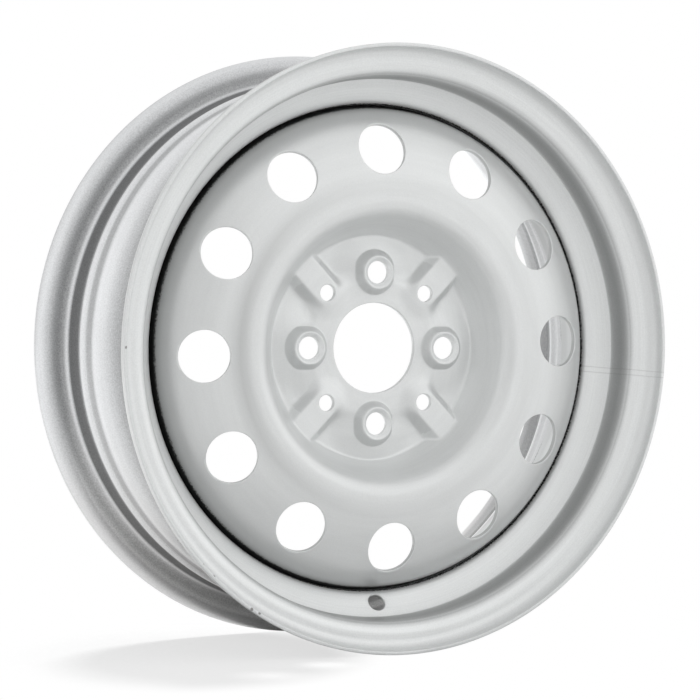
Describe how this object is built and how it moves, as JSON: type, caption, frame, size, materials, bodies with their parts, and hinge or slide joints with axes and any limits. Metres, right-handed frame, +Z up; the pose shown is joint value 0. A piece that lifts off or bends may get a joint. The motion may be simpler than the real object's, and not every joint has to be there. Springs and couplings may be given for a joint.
{
  "type": "steel wheel rim",
  "caption": "Pressed steel road wheel: rolled drop-well rim with flanges and humps, welded to a domed disc with round vents, hat, hub plate, bolt bosses and pilot pads.",
  "frame": {"origin": "centre of the rim on the axle, halfway between the flanges", "axes": "+Y along the axle towards the inboard side, so the outboard face looks along -Y; +Z up through the top bolt hole"},
  "size_m": [0.3894, 0.1502, 0.3892],
  "materials": {
    "silver_paint": "satin silver-grey paint",
    "painted_weld": "satin silver-grey paint over weld"
  },
  "bodies": {
    "root": {"rim": "silver_paint", "disc": "silver_paint", "weld_beads": "painted_weld"}
  },
  "joints": []
}
